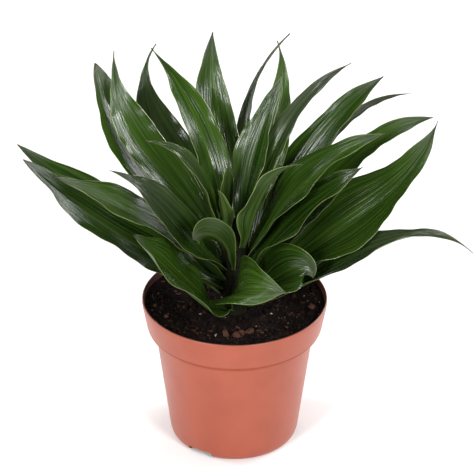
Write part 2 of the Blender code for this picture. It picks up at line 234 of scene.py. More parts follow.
BARK_DARK = (0.016, 0.0065, 0.004)
BARK_PALE = (0.15, 0.062, 0.040)
SPECK_DARK = (0.22, 0.17, 0.14)
SPECK_PALE = (0.60, 0.55, 0.50)
# The cane's colours are made very dark as painted shade in the heart of the rosette
CANE_SHADED_DARK = (0.004, 0.005, 0.002)
CANE_SHADED_PALE = (0.013, 0.015, 0.006)
FLOOR_COLOUR = (0.93, 0.93, 0.93)

# What a leaf has unless its row says otherwise. turn swings the tip sideways. fold is how steeply both halves
# rise from the midrib, and roll and tip_roll tilt the blade about it. root_bow and tip_bow are the lengths of
# the midrib curve's two handles, as shares of its chord. widest is where along it the blade is widest, base
# the share of that width at the cane, taper how soon the point narrows, and least the least half width short
# of the tip.
LEAF_DEFAULTS = {
    "turn": 0, "fold": 22, "roll": 0, "tip_roll": 0, "root_bow": 0.38, "tip_bow": 0.34,
    "widest": 0.45, "base": 0.30, "taper": 1.15, "least": 0.6,
}


def leaf(tip, root, lift, nod, width, **others):
    """One leaf. tip is its tip's azimuth, its distance from the axis and its height above the soil. root is
    the azimuth and the height above the soil at which it leaves the cane. lift is the climb of the midrib at
    the root, nod its climb at the tip, and width the blade's full width.
    """
    shape = dict(LEAF_DEFAULTS, tip=tip, root=root, lift=lift, nod=nod, width=width)
    shape.update(others)
    return shape


LEAVES = {
    # Left side, from the lowest leaf up
    "leaf_left_low_back": leaf(
        (163, 147.5, 97), (163, 9), lift=34, nod=40, width=38, roll=-8, base=0.32, taper=0.9
    ),
    "leaf_left_broad": leaf(
        (183, 133.5, 113), (184, 15), lift=30, nod=50, width=45, roll=-20, base=0.3, widest=0.36, taper=0.85
    ),
    "leaf_left_upper": leaf(
        (200, 118, 119), (201, 23.5), lift=54, nod=36, width=38, roll=-16, widest=0.4, base=0.26, taper=0.95
    ),
    "leaf_front_left": leaf(
        (218, 80, 83), (243, 2.6), lift=26, nod=54, width=50, roll=-24, tip_roll=-13, base=0.2, taper=1.0
    ),
    "leaf_left_inner_low": leaf(
        (197, 82, 115), (212, 32), lift=44, nod=30, width=31, roll=-40, tip_roll=30, root_bow=0.45
    ),
    "leaf_left_inner_high": leaf((190, 57, 128), (190, 50), lift=78, nod=8, width=17, roll=-20),
    # Back left
    "leaf_back_left_low": leaf(
        (142, 116, 142), (144, 25), lift=43, nod=74, width=43, roll=-9, taper=0.75, base=0.42
    ),
    "leaf_back_left_broad": leaf(
        (138, 106, 151), (144, 38), lift=54, nod=80, width=36, turn=-80, widest=0.5, taper=1.4, tip_bow=0.44,
        least=1.8
    ),
    "leaf_back_left_hooked": leaf(
        (115.5, 122.5, 137), (116, 18.5), lift=49, nod=57, width=40, turn=-116, taper=2.0, tip_bow=0.32,
        roll=-12, base=0.28, least=1.5
    ),
    "leaf_back_left_tall": leaf(
        (128, 89, 153.5), (127, 45), lift=82, nod=27, width=27, turn=5, taper=1.4, least=1.2
    ),
    # Back and back right
    "leaf_back_tall": leaf((102, 72, 165), (97, 31), lift=60, nod=77, width=32, turn=-60, taper=1.0),
    "leaf_back_right_slender": leaf(
        (70, 103, 151.5), (67, 23), lift=68, nod=48, width=16, turn=-75, taper=2.2, tip_bow=0.45, widest=0.28,
        least=1.2
    ),
    "leaf_back_right_tall": leaf(
        (66, 65, 164.5), (64, 45), lift=69, nod=72, width=33, turn=115, taper=1.8, widest=0.4, base=0.26,
        least=1.1
    ),
    "leaf_back_inner": leaf((48, 44, 154), (64, 54.5), lift=80, nod=60, width=28, taper=1.4),
    "leaf_back_right_arched": leaf(
        (32, 87, 155.5), (22, 45), lift=83, nod=12, width=18, taper=1.2, roll=8, tip_bow=0.38
    ),
    "leaf_back_right_broad": leaf(
        (24, 103, 148), (24, 25), lift=59, nod=29, width=34, roll=10, taper=0.95, base=0.36, widest=0.45
    ),
    # Right side
    "leaf_right_slender": leaf(
        (35, 143, 115), (42, 19), lift=66, nod=-20, width=18, taper=1.8, roll=5, least=1.2
    ),
    "leaf_right_far": leaf((17, 132.5, 120.5), (17, 14), lift=45, nod=3, width=30, roll=8, taper=0.85),
    "leaf_right_upper": leaf((1, 95, 128.5), (-2, 37), lift=64, nod=18, width=34, roll=13, taper=1.25),
    "leaf_right_inner": leaf((-14, 82, 116), (-23, 28), lift=60, nod=46, width=42, roll=17),
    "leaf_right_broad": leaf(
        (2, 127, 136), (12, 10), lift=37, nod=76, width=55, roll=24, tip_bow=0.37, base=0.28, widest=0.42,
        taper=1.4
    ),
    "leaf_right_low": leaf(
        (-14, 154, 64), (-14, 3), lift=23, nod=-37, width=34, taper=2.1, turn=-12, roll=8, base=0.4,
        widest=0.39
    ),
    # Short curled leaves at the front, and the heart of the rosette
    "leaf_front_curled": leaf(
        (-60, 64, 46), (-100, 4.5), lift=55, nod=-15, width=44, turn=50, fold=30, roll=30, tip_roll=40,
        root_bow=0.5, base=0.22, widest=0.55
    ),
    "leaf_front_right_curled": leaf(
        (-27, 56, 38.5), (-47, 8), lift=51, nod=-55, width=40, turn=-60, fold=18, roll=30, tip_roll=50,
        root_bow=0.6, base=0.18, widest=0.6
    ),
    "leaf_heart_folded": leaf(
        (238, 49, 75), (262, 34), lift=84, nod=-40, width=22, roll=25, tip_roll=85, root_bow=0.5, base=0.15,
        widest=0.7, taper=0.95, tip_bow=0.2
    ),
    "leaf_heart_right": leaf(
        (-30, 49, 120), (-48, 50), lift=70, nod=10, width=27, roll=-8, tip_roll=-20, root_bow=0.3,
        widest=0.35, taper=1.4
    ),
    "leaf_heart_spear": leaf((120, 6, 103), (124, 60), lift=88, nod=85, width=13),
    "leaf_heart_young": leaf((234, 19, 97), (234, 56), lift=84, nod=60, width=12, fold=34),
    # Low and rear leaves that the others hide from the front
    "leaf_rear_middle": leaf((84, 112, 54), (84, 9), lift=36, nod=15, width=29),
    "leaf_rear_left_low": leaf((112, 122, 36), (112, 3), lift=20, nod=10, width=33),
    "leaf_rear_left": leaf((134, 100, 47), (134, 6.5), lift=28, nod=20, width=27),
    "leaf_rear_right": leaf((62, 106, 42), (62, 5.5), lift=26, nod=10, width=31),
    "leaf_rear_right_low": leaf((36, 90, 32), (36, 2), lift=20, nod=20, width=31),
    "leaf_rear_left_high": leaf((98, 100, 74), (98, 13), lift=42, nod=30, width=28),
    "leaf_rear_high": leaf((76, 84, 94), (70, 16), lift=52, nod=36, width=26, base=0.24),
}

# How much paler (above 0) or darker (below 0) than the others a leaf is. Mostly each leaf's own tone; the
# folded heart leaf is darker as painted shade, and the back right tall leaf is paler, partly its own tone and
# partly painted light coming through it
LEAF_TINTS_AND_PAINTED_LIGHT = {
    "leaf_left_upper": 0.35, "leaf_back_left_low": 0.5, "leaf_back_left_broad": 0.3, "leaf_back_tall": 0.3,
    "leaf_back_right_tall": 0.9, "leaf_right_far": 0.4, "leaf_right_inner": -0.2, "leaf_front_left": 0.2,
    "leaf_front_curled": 0.35, "leaf_front_right_curled": -0.1, "leaf_left_broad": -0.2,
    "leaf_heart_spear": 0.8, "leaf_heart_young": 0.7, "leaf_heart_folded": -0.3, "leaf_right_broad": 0.1,
}

# How far a painted grey sheen, standing in for the reflection of the bright surround, covers the outer part
# of each of these leaves
LEAVES_WITH_PAINTED_SHEEN = {
    "leaf_back_right_slender": 0.75, "leaf_back_right_arched": 0.6, "leaf_right_slender": 0.7,
    "leaf_right_low": 0.5, "leaf_back_left_hooked": 0.3, "leaf_left_inner_low": 0.4,
    "leaf_left_inner_high": 0.3,
}


# Geometry helpers

def polar(azimuth, radius, height):
    """A point from its compass heading in degrees, its distance from the axis and its height."""
    angle = math.radians(azimuth)
    return np.array([radius * math.cos(angle), radius * math.sin(angle), height])


def direction(azimuth, climb):
    """A unit vector with this compass heading and this climb above the level, in degrees."""
    return polar(azimuth, math.cos(math.radians(climb)), math.sin(math.radians(climb)))


def smooth_step(x, start, end):
    """0 at start and before it, 1 at end and past it, and a soft S between them. start may be the larger."""
    share = np.clip((x - start) / (end - start), 0, 1)
    return share * share * (3 - 2 * share)


def unit(vectors):
    return vectors / np.linalg.norm(vectors, axis=-1, keepdims=True)


def push_out(points, least_radius):
    """Moves the points that lie nearer to the Z axis than this out to this radius."""
    radius = np.hypot(points[..., 0], points[..., 1])
    points[..., :2] *= (np.maximum(radius, least_radius) / radius)[..., None]


def new_piece(name, vertices, faces, finish):
    """A mesh object from points in millimetres, smoothly shaded."""
    mesh = bpy.data.meshes.new(name)
    mesh.from_pydata((np.asarray(vertices) * MM).tolist(), [], faces)
    mesh.shade_smooth()
    made = bpy.data.objects.new(name, mesh)
    bpy.context.scene.collection.objects.link(made)
    mesh.materials.append(finish)
    return made


def set_attribute(piece, name, values):
    layer = piece.data.attributes.new(name, "FLOAT", "POINT")
    layer.data.foreach_set("value", np.asarray(values, dtype=float).ravel())


def set_vectors(piece, name, values):
    layer = piece.data.attributes.new(name, "FLOAT_VECTOR", "POINT")
    layer.data.foreach_set("vector", np.asarray(values, dtype=float).ravel())


def stand_for(piece, node):
    """The piece is seen in place of the node: it hangs on the root body, and the node is hidden."""
    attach(piece, "root")
    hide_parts(node)


def rounded(points, radius, steps=4):
    """The same line with each inner corner cut off and replaced by a short curve."""
    points = [np.array(point, dtype=float) for point in points]
    line = [points[0]]
    for before, corner, after in zip(points, points[1:], points[2:]):
        to_before = before - corner
        to_after = after - corner
        reach = min(radius, 0.45 * np.linalg.norm(to_before), 0.45 * np.linalg.norm(to_after))
        start = corner + unit(to_before) * reach
        end = corner + unit(to_after) * reach
        for t in np.linspace(0, 1, steps + 1):
            line.append((1 - t) ** 2 * start + 2 * (1 - t) * t * corner + t**2 * end)
    line.append(points[-1])
    return line


def turned(profile, steps):
    """Vertices and faces of a solid turned round the Z axis. The profile runs from the axis down its outside
    or up its inside, so that the faces look out, and it starts and ends on the axis."""
    vertices = [(0, 0, profile[0][1])]
    for radius, height in profile[1:-1]:
        for step in range(steps):
            angle = math.tau * step / steps
            vertices.append((radius * math.cos(angle), radius * math.sin(angle), height))
    vertices.append((0, 0, profile[-1][1]))
    last = len(vertices) - 1
    rings = len(profile) - 2
    faces = []
    for step in range(steps):
        following = (step + 1) % steps
        faces.append((0, 1 + step, 1 + following))
        for ring in range(rings - 1):
            near = 1 + ring * steps
            far = near + steps
            faces.append((near + step, far + step, far + following, near + following))
        outer = 1 + (rings - 1) * steps
        faces.append((outer + step, last, outer + following))
    return np.array(vertices), faces


# Leaf blades

def midrib(shape, stations):
    """Points at even steps along the midrib, a cubic curve from cane to tip, and its heading and length."""
    root_azimuth, root_height = shape["root"]
    azimuth, reach, height = shape["tip"]
    root = polar(root_azimuth, CLASP_RADIUS, SOIL_TOP + root_height)
    tip = polar(azimuth, reach, SOIL_TOP + height)
    chord = np.linalg.norm(tip - root)
    heading = math.degrees(math.atan2(tip[1] - root[1], tip[0] - root[0]))
    after_root = root + direction(root_azimuth, shape["lift"]) * chord * shape["root_bow"]
    before_tip = tip - direction(heading + shape["turn"], shape["nod"]) * chord * shape["tip_bow"]
    t = np.linspace(0, 1, CURVE_SAMPLES)[:, None]
    curve = (
        (1 - t) ** 3 * root
        + 3 * (1 - t) ** 2 * t * after_root
        + 3 * (1 - t) * t**2 * before_tip
        + t**3 * tip
    )
    run = np.concatenate([[0], np.cumsum(np.linalg.norm(np.diff(curve, axis=0), axis=1))])
    even = np.linspace(0, run[-1], stations + 1)
    points = np.stack([np.interp(even, run, curve[:, axis]) for axis in range(3)], axis=-1)
    return points, heading, run[-1]


def half_widths(shape, along):
    """Half the blade's width at each share of its length: a clasping base, the widest part, a long point."""
    widest = shape["widest"]
    base = shape["base"]
    rising = base + (1 - base) * smooth_step(along, 0, widest)
    past = np.clip((along - widest) / (1 - widest), 0, 1)
    share = np.where(along < widest, rising, (1 - past**POINT_POWER) ** shape["taper"])
    slender = shape["least"] * np.sqrt(1 - along**8)
    return np.maximum(np.maximum(0.5 * shape["width"] * share, slender), LEAST_HALF_WIDTH)


def blade_directions(shape, middle, heading, along):
    """Unit vectors across the blade and out of its upper side at each station, turned by its roll."""
    tangent = unit(np.gradient(middle, axis=0))
    level = polar(heading + 90, 1, 0)
    side = unit(level - tangent * (tangent @ level)[:, None])
    up = np.cross(tangent, side)
    roll = shape["roll"] * smooth_step(along, 0, 0.5) + shape["tip_roll"] * smooth_step(along, 0.45, 1)
    cos_roll = np.cos(np.radians(roll))[:, None]
    sin_roll = np.sin(np.radians(roll))[:, None]
    return side * cos_roll + up * sin_roll, up * cos_roll - side * sin_roll


def blade_surface(shape, stations, across):
    """The blade's middle surface as a grid [station, place across, xyz], and the midrib's length."""
    middle, heading, length = midrib(shape, stations)
    along = np.linspace(0, 1, stations + 1)
    side, up = blade_directions(shape, middle, heading, along)
    place = np.linspace(-1, 1, across + 1)[None, :]
    half = half_widths(shape, along)[:, None]
    fold = np.radians(shape["fold"] * (1 + 0.9 * smooth_step(along, 0.25, 0)))[:, None]
    valley = np.sqrt(place**2 + FOLD_SOFTNESS) - math.sqrt(FOLD_SOFTNESS)
    beat = np.sin(math.tau * MARGIN_WAVES * along)
    beat *= smooth_step(along, 0, 0.2) * smooth_step(along, 1, 0.8)
    wave = MARGIN_WAVE * shape["width"] * beat[:, None] * np.sign(place) * place**2
    out = half * place * np.cos(fold)
    lift = half * valley * np.sin(fold) + wave
    grid = middle[:, None] + side[:, None] * out[..., None] + up[:, None] * lift[..., None]
    push_out(grid, CLASP_RADIUS)
    return grid, length


def swells(random, along, place, waves_along, waves_across, count=5):
    """A gentle uneven field over the blade, within about -1 to 1, from a few crossed sine waves."""
    total = np.zeros(np.broadcast(along, place).shape)
    for _ in range(count):
        phase, _ = random.uniform(0, math.tau, 2)
        turns_along = random.uniform(0.4, 1.0) * waves_along
        turns_across = random.uniform(-1.0, 1.0) * waves_across
        total += np.sin(math.tau * (turns_along * along + turns_across * place) + phase)
    return total / count


def blade_detail(length, along, place, half, random):
    """How far the fine relief lifts the blade's middle surface, in millimetres."""
    from_midrib = np.abs(place)
    body = smooth_step(along, 0, 0.15) * smooth_step(along, 1, 0.86)
    inside = smooth_step(from_midrib, 1, 0.75)
    bend = PLEAT_BEND * np.sin(math.tau * 1.5 * along + random.uniform(0, math.tau))
    pleats = PLEAT_HEIGHT * np.cos(math.tau * PLEATS * (from_midrib + bend)) * inside * body
    groove = -GROOVE_DEPTH * np.exp(-((place * half / GROOVE_WIDTH) ** 2)) * body
    buckle = BUCKLE_HEIGHT * swells(random, along, place, length / BUCKLE_LENGTH, 0.6) * body * from_midrib
    ripple_turns = length / random.uniform(*RIPPLE_LENGTHS)
    ripple = np.sin(math.tau * ripple_turns * along + random.uniform(0, math.tau) + 1.3 * np.sign(place))
    edge = smooth_step(from_midrib, 0.55, 1)
    ripple = RIPPLE_HEIGHT * ripple * edge * body * (0.6 + 0.4 * swells(random, along, 0 * place, 4, 0))
    return pleats + groove + buckle + ripple


def grid_normals(grid):
    along = np.gradient(grid, axis=0)
    across = np.gradient(grid, axis=1)
    return unit(np.cross(along, across))


def blade_sides(middle, along, place, half):
    """The blade's upper and lower sides. It thins towards its margins, and a keel runs under the midrib."""
    normals = grid_normals(middle)
    thickness = MARGIN_THICKNESS + (BLADE_THICKNESS - MARGIN_THICKNESS) * (1 - place**4)
    thickness = thickness * np.minimum(1, half / FULL_BODY)
    keel = KEEL_HEIGHT * np.exp(-((place * half / KEEL_WIDTH) ** 2)) * smooth_step(along, 0.95, 0.5)
    top = middle + normals * (thickness / 2 * (np.abs(place) < 1))[..., None]
    bottom = middle - normals * (thickness / 2 + keel)[..., None]
    return top, bottom


def blade_faces(stations, across):
    """Faces of a closed blade: the upper grid, the lower grid that shares its margins, and both ends."""
    row = across + 1
    lower_start = (stations + 1) * row

    def upper(station, place):
        return station * row + place

    def lower(station, place):
        if place in (0, across):
            return upper(station, place)
        return lower_start + station * (across - 1) + place - 1

    faces = []
    for station in range(stations):
        for place in range(across):
            corners = ((station, place), (station + 1, place), (station + 1, place + 1), (station, place + 1))
            faces.append(tuple(upper(*corner) for corner in corners))
            faces.append(tuple(lower(*corner) for corner in reversed(corners)))
    for place in range(across):
        root = (upper(0, place), upper(0, place + 1), lower(0, place + 1), lower(0, place))
        tip = (upper(stations, place + 1), upper(stations, place), lower(stations, place),
               lower(stations, place + 1))
        faces.append(tuple(dict.fromkeys(root)))
        faces.append(tuple(dict.fromkeys(tip)))
    return faces


def per_vertex(field):
    """A field over the blade as one value for each vertex: the upper side's, then the lower side's."""
    field = np.broadcast_to(field, (STATIONS + 1, ACROSS + 1))
    return np.concatenate([field.ravel(), field[:, 1:ACROSS].ravel()])


def make_blade(node, shape, finish, seed):
    """One leaf as a thin closed blade with pleats, a grooved midrib, a keel under it and rippled margins."""
    random = np.random.RandomState(seed)
    grid, length = blade_surface(shape, STATIONS, ACROSS)
    along = np.linspace(0, 1, STATIONS + 1)[:, None]
    place = np.linspace(-1, 1, ACROSS + 1)[None, :]
    half = half_widths(shape, along[:, 0])[:, None]
    detail = blade_detail(length, along, place, half, random)
    middle = grid + grid_normals(grid) * detail[..., None]
    top, bottom = blade_sides(middle, along, place, half)
    vertices = np.concatenate([top.reshape(-1, 3), bottom[:, 1:ACROSS].reshape(-1, 3)])
    push_out(vertices, CANE_RADIUS + GAP)
    piece = new_piece(node.replace("leaf_", "blade_"), vertices, blade_faces(STATIONS, ACROSS), finish)

    whole = np.ones(len(vertices))
    across = per_vertex(place * 0.5 * shape["width"])
    vein = np.stack([across, per_vertex(along * length), whole * seed * VEIN_SHIFT], axis=-1)
    set_vectors(piece, "vein", vein)
    set_attribute(piece, "along", per_vertex(along))
    set_attribute(piece, "margin", per_vertex(half * (1 - np.abs(place))))
    set_attribute(piece, "under", np.arange(len(vertices)) >= (STATIONS + 1) * (ACROSS + 1))
    set_attribute(piece, "tint", whole * LEAF_TINTS_AND_PAINTED_LIGHT.get(node, random.uniform(-0.25, 0.25)))
    # Painted grey sheen over the outer part of some leaves
    set_attribute(piece, "grey", per_vertex(LEAVES_WITH_PAINTED_SHEEN.get(node, 0) * smooth_step(along, 0.3, 0.8)))
    stand_for(piece, node)


def make_leaves():
    finish = leaf_material()
    for seed, (node, shape) in enumerate(LEAVES.items()):
        make_blade(node, shape, finish, SEED + seed)


# Pot

def pot_outer_profile():
    """The pot's outer side, from the lip down to the foot ring: a deep band, a step, then the body."""
    return [
        (RIM_RADIUS - LIP, POT_HEIGHT),
        (RIM_RADIUS, POT_HEIGHT - LIP),
        (RIM_RADIUS, BAND_TOP_Z),
        (BAND_FOOT_RADIUS, BAND_FOOT_Z),
        (BAND_FOOT_RADIUS - 0.8, BAND_FOOT_Z - 1.9),
        (BAND_FOOT_RADIUS - 2.4, BAND_FOOT_Z - 3.5),
        (BODY_TOP_RADIUS + 1.0, BODY_TOP_Z + 0.8),
        (BODY_TOP_RADIUS, BODY_TOP_Z),
        (BODY_FOOT_RADIUS, BODY_FOOT_Z),
        (BODY_FOOT_RADIUS - 0.6, BODY_FOOT_Z - 2.6),
        (BODY_FOOT_RADIUS - 2.0, BODY_FOOT_Z - 4.8),
        (BASE_RADIUS, 0),
    ]


def pot_under_profile():
    """The underside, from the foot ring in to the axis."""
    return [
        (CHANNEL_OUTER, 0),
        (CHANNEL_OUTER - 0.8, CHANNEL_RISE),
        (CHANNEL_INNER + 0.8, CHANNEL_RISE),
        (CHANNEL_INNER, 0),
        (0, 0),
    ]


def pot_inner_profile(clearance=0.0):
    """The pot's inner side, from the axis of the floor up to the lip, or a line this far inside it."""
    inset = WALL + clearance
    return [
        (0, inset),
        (CHANNEL_INNER - 1.2 - clearance / 2, inset),
        (CHANNEL_INNER - clearance / 2, CHANNEL_RISE + inset),
        (BASE_RADIUS - 0.5, CHANNEL_RISE + inset),
        (BODY_FOOT_RADIUS - 0.6 - inset, CHANNEL_RISE + inset + 1.6),
        (BODY_FOOT_RADIUS - inset + 0.1, BODY_FOOT_Z + inset),
        (BODY_TOP_RADIUS - inset, BODY_TOP_Z + 0.4 + clearance),
        (BAND_FOOT_RADIUS - 2.4 - inset + 0.9, BAND_FOOT_Z - 2.6 + clearance),
        (BAND_FOOT_RADIUS - inset, BAND_FOOT_Z + 0.8 + clearance),
        (RIM_RADIUS - inset, POT_HEIGHT - 2.8),
        (RIM_RADIUS - inset + 0.1, POT_HEIGHT - LIP),
    ]


def drain_cutter(azimuth, cutters):
    """A short rod through the channel's roof."""
    bpy.ops.mesh.primitive_cylinder_add(
        vertices=CUTTER_STEPS, radius=DRAIN_RADIUS * MM, depth=4 * WALL * MM,
        location=(polar(azimuth, CHANNEL_MIDDLE, CHANNEL_RISE + WALL / 2) * MM).tolist(),
    )
    move_to(bpy.context.object, cutters)


def notch_cutter(azimuth, cutters):
    """A block with rounded edges across the foot, half of it under the pot."""
    bpy.ops.mesh.primitive_cube_add(
        size=1, location=(polar(azimuth, BASE_RADIUS + 1, 0) * MM).tolist(),
        rotation=(0, 0, math.radians(azimuth)),
    )
    notch = bpy.context.object
    notch.scale = (NOTCH_DEPTH * MM, NOTCH_WIDTH * MM, 2 * NOTCH_HEIGHT * MM)
    bpy.ops.object.transform_apply(location=False, rotation=False, scale=True)
    bevel = notch.modifiers.new("Rounding", "BEVEL")
    bevel.width = NOTCH_ROUNDING * MM
    bevel.segments = NOTCH_ROUNDING_STEPS
    move_to(notch, cutters)


def move_to(made, collection):
    for holder in list(made.users_collection):
        holder.objects.unlink(made)
    collection.objects.link(made)


def cut(piece, cutters):
    """Takes every cutter of the collection out of the piece, and removes the cutters."""
    boolean = piece.modifiers.new("Cut", "BOOLEAN")
    boolean.operation = "DIFFERENCE"
    boolean.operand_type = "COLLECTION"
    boolean.collection = cutters
    bpy.context.view_layer.update()
    graph = bpy.context.evaluated_depsgraph_get()
    piece.data = bpy.data.meshes.new_from_object(piece.evaluated_get(graph))
    piece.modifiers.clear()
    for cutter in list(cutters.objects):
        bpy.data.objects.remove(cutter, do_unlink=True)
    bpy.data.collections.remove(cutters)


def make_pot():
    """The pot as one turned wall with rounded corners, and its drain holes and notches cut out."""
    profile = rounded(pot_inner_profile() + pot_outer_profile() + pot_under_profile(), POT_CORNER)
    vertices, faces = turned(profile[::-1], POT_STEPS)
    pot = new_piece("nursery_pot", vertices, [face[::-1] for face in faces], pot_material())
    cutters = bpy.data.collections.new("cutters")
    bpy.context.scene.collection.children.link(cutters)
    for hole in range(DRAIN_HOLES):
        drain_cutter(FIRST_DRAIN_AZIMUTH + 360 * hole / DRAIN_HOLES, cutters)
    for azimuth in NOTCH_AZIMUTHS:
        notch_cutter(azimuth, cutters)
    cut(pot, cutters)
    pot.data.shade_smooth()
    pot.data.set_sharp_from_angle(angle=math.radians(SHARP_ANGLE))
    stand_for(pot, "pot")


# Soil

def relief(x, y):
    """The soil's uneven top at (x, y): three crossed swells, in shares of SOIL_RELIEF."""
    return (
        0.5 * np.sin(0.23 * x + 0.11 * y + 0.4)
        + 0.3 * np.sin(0.35 * y - 0.19 * x + 1.7)
        + 0.2 * np.sin(0.61 * x + 0.47 * y + 2.9)
    )


def soil_height(x, y, edge):
    """The height of the finished soil at (x, y): its climb to the wall, its swells and a crumbly relief."""
    radius = math.hypot(x, y)
    climb = SOIL_RISE * smooth_step(radius, RISE_START, edge)
    hole_radius = CANE_RADIUS + GAP
    swell = SOIL_RELIEF * smooth_step(radius, hole_radius, hole_radius + 10) * relief(x, y)
    place = Vector((x, y, 0))
    lumps = noise.fractal(place * 0.16, 0.9, 2.1, 5)
    grains = noise.turbulence(place * 0.7, 3, False)
    crumbly = CRUMB_HEIGHT * (0.9 * lumps + 0.6 * (grains - 0.5)) * smooth_step(radius, edge, edge - 2)
    return SOIL_TOP + float(swell + crumbly + climb)


def soil_edge_radius():
    """The radius at which the soil's top meets the pot's wall, less the clearance."""
    below, above = pot_inner_profile(GAP)[-3:-1]
    share = (SOIL_TOP + SOIL_RISE - below[1]) / (above[1] - below[1])
    return below[0] + share * (above[0] - below[0])


def soil_body(edge):
    """Vertices and faces of the soil's closed body, finely divided on top."""
    hole_radius = CANE_RADIUS + GAP
    rings = np.linspace(hole_radius, edge, int((edge - hole_radius) / SOIL_RING_PITCH))
    top = [(radius, SOIL_TOP) for radius in rings]
    hole = [(0, CANE_FOOT_Z - GAP), (hole_radius, CANE_FOOT_Z - GAP)]
    profile = hole + top + pot_inner_profile(GAP)[-3::-1]
    vertices, faces = turned(profile, SOIL_STEPS)
    for vertex in vertices:
        if abs(vertex[2] - SOIL_TOP) < 0.01:
            vertex[2] = soil_height(vertex[0], vertex[1], edge)
    return vertices, faces


def rotation(x, y, z):
    """A turn about X, then Y, then Z, in degrees."""
    turns = [Matrix.Rotation(math.radians(angle), 3, axis) for angle, axis in ((x, "X"), (y, "Y"), (z, "Z"))]
    return turns[2] @ turns[1] @ turns[0]


def icosphere(subdivisions):
    """Points and faces of a ball of radius 1."""
    bpy.ops.mesh.primitive_ico_sphere_add(subdivisions=subdivisions, radius=1)
    made = bpy.context.object
    points = np.array([vertex.co[:] for vertex in made.data.vertices])
    faces = [tuple(face.vertices) for face in made.data.polygons]
    bpy.data.objects.remove(made, do_unlink=True)
    return points, faces


def lump(random, ball, centre, size, turn=None):
    """A small rough solid: the ball pushed in and out, scaled by size, and turned as told or at random."""
    angles = turn if turn is not None else random.uniform(0, 360, 3)
    spin = np.array(rotation(*angles))
    shift = Vector(random.uniform(-50, 50, 3))
    corners, faces = ball
    points = []
    for corner in corners:
        push = 1 + LUMP_ROUGHNESS * noise.noise(Vector(corner) * 1.4 + shift)
        points.append(spin @ (corner * push * np.array(size)) + np.array(centre))
    return points, faces


def fibre(random, start, heading, length, thickness):
    """A thin root fibre: a tapered, bent thread that arches a little over the soil."""
    points, faces = [], []
    place = np.array(start, dtype=float)
    last_joint = FIBRE_JOINTS - 1
    for joint in range(FIBRE_JOINTS):
        share = joint / last_joint
        heading += random.uniform(-FIBRE_BEND, FIBRE_BEND)
        forward = polar(heading, 1, FIBRE_DROOP * (0.5 - share))
        place = place + forward * length / last_joint
        sideways = unit(np.array([-forward[1], forward[0], 0.0]))
        upward = np.cross(forward, sideways)
        girth = thickness * (1 - 0.7 * share)
        for side in range(FIBRE_SIDES):
            angle = math.tau * side / FIBRE_SIDES
            points.append(place + girth * (math.cos(angle) * sideways + math.sin(angle) * upward))
    for joint in range(last_joint):
        near = joint * FIBRE_SIDES
        far = near + FIBRE_SIDES
        for side in range(FIBRE_SIDES):
            following = (side + 1) % FIBRE_SIDES
            faces.append((near + side, near + following, far + following, far + side))
    faces.append(tuple(reversed(range(FIBRE_SIDES))))
    faces.append(tuple(range(last_joint * FIBRE_SIDES, FIBRE_JOINTS * FIBRE_SIDES)))
    return points, faces


def somewhere(random, edge, least=11.0):
    """A random place on the soil, at least this far from the axis."""
    radius = math.sqrt(random.uniform(least**2, (edge - 2.2) ** 2))
    x, y, _ = polar(random.uniform(0, 360), radius, 0)
    return x, y, soil_height(x, y, edge)


# Each kind of bit on the soil comes as points, faces and a shade

def front_chips(random, ball, edge):
    for (x, y), size, turn, shade in FRONT_CHIPS:
        centre = (x, y, soil_height(x, y, edge) + 0.35 * size[2])
        yield (*lump(random, ball, centre, size, turn), shade)


def crumbs(random, ball, edge):
    for _ in range(CRUMBS):
        x, y, height = somewhere(random, edge)
        size = random.uniform(0.5, 1.1) * np.array([1.1, 0.9, 0.9]) * random.choice([1, 1, 1.7])
        centre = (x, y, height + 0.2 * size[2])
        yield (*lump(random, ball, centre, size), random.uniform(0.05, 0.40))


def bark_chips(random, ball, edge):
    for _ in range(CHIPS):
        x, y, height = somewhere(random, edge, least=18)
        size = np.array([random.uniform(0.9, 2.2), random.uniform(0.5, 1.0), random.uniform(0.3, 0.6)])
        turn = (random.uniform(-25, 25), random.uniform(-25, 25), random.uniform(0, 360))
        centre = (x, y, height + 0.3 * size[2])
        yield (*lump(random, ball, centre, size, turn), random.uniform(0.35, 0.72))


def pale_specks(random, ball, edge):
    for _ in range(SPECKS):
        x, y, height = somewhere(random, edge)
        size = random.uniform(0.18, 0.42) * np.ones(3)
        yield (*lump(random, ball, (x, y, height + 0.1), size), random.uniform(0.78, 0.97))


def root_fibres(random, edge):
    for _ in range(FIBRES):
        x, y, height = somewhere(random, edge, least=14)
        heading = random.uniform(0, 360)
        length = random.uniform(3, 8)
        thickness = random.uniform(0.08, 0.16)
        thread = fibre(random, (x, y, height + 0.15), heading, length, thickness)
        yield (*thread, random.uniform(0.45, 0.8))


def make_soil():
    """The soil's body with crumbs, bark chips, fibres and pale specks on it, as one piece."""
    random = np.random.RandomState(SEED)
    edge = soil_edge_radius()
    ball = icosphere(subdivisions=2)
    body, faces = soil_body(edge)
    vertices = [tuple(vertex) for vertex in body]
    shades = [0.0] * len(vertices)
    bits = chain(
        front_chips(random, ball, edge),
        crumbs(random, ball, edge),
        bark_chips(random, ball, edge),
        pale_specks(random, ball, edge),
        root_fibres(random, edge),
    )
    for points, bit_faces, shade in bits:
        start = len(vertices)
        vertices.extend(tuple(point) for point in points)
        faces.extend(tuple(start + corner for corner in face) for face in bit_faces)
        shades.extend([shade] * len(points))
    soil = new_piece("potting_soil", vertices, faces, soil_material())
    set_attribute(soil, "shade", shades)
    stand_for(soil, "soil")


# Cane

